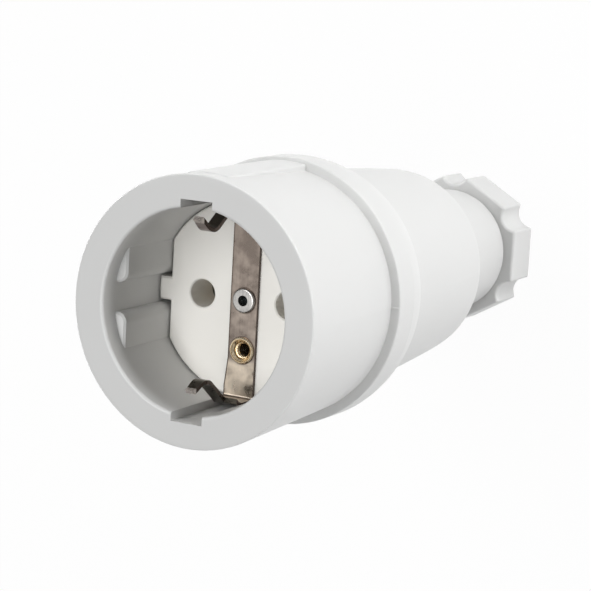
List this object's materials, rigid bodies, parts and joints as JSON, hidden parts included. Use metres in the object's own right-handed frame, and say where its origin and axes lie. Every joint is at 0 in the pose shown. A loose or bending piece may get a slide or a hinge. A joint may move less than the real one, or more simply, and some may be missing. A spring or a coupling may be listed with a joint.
{
  "type": "inline socket connector",
  "caption": "Round inline mains socket with a deep plug recess, side earth clips, a stepped collar, a tapered handle and a lobed gland nut for the cord.",
  "frame": {"origin": "centre of the gland nut's rear face, on which the connector stands", "axes": "+Z along the axis towards the mouth, +X along the line of the pin holes, +Y along the earth strap towards the raised pad"},
  "size_m": [0.0534, 0.0534, 0.123],
  "materials": {
    "white_plastic": "satin white moulding",
    "insert_plastic": "warm white moulding",
    "seal_rubber": "matt black",
    "nickel_strip": "dull nickel on sheet metal",
    "plated_steel": "bright zinc",
    "brass": "turned brass"
  },
  "bodies": {
    "nut": {"gland_nut": "white_plastic"},
    "washer": {"slip_washer": "insert_plastic"},
    "housing": {"front_barrel": "white_plastic", "rear_housing": "white_plastic", "cable_seal": "seal_rubber", "contact_carrier": "insert_plastic", "contact_cover": "insert_plastic", "earth_strap": "nickel_strip", "strap_rivet": "plated_steel", "earth_bush": "brass", "earth_terminal_screw": "plated_steel", "earth_wire_washer": "plated_steel", "live_contact": "brass", "neutral_contact": "brass", "live_spring": "plated_steel", "neutral_spring": "plated_steel", "live_terminal_screw": "plated_steel", "neutral_terminal_screw": "plated_steel", "cord_clamp": "insert_plastic", "cord_clamp_screws": "plated_steel"}
  },
  "joints": [
    {"name": "gland_turn", "type": "hinge", "parent": "nut", "child": "washer", "pos_m": [0, 0, 0.01], "axis": [0, 0, 1], "range_deg": [0, 900]},
    {"name": "gland_travel", "type": "slide", "parent": "washer", "child": "housing", "axis": [0, 0, 1], "range_m": [0, 0.005]}
  ],
  "couplings": [
    {"joint": "gland_travel", "follows": "gland_turn", "m_per_rad": 0.00031831}
  ]
}
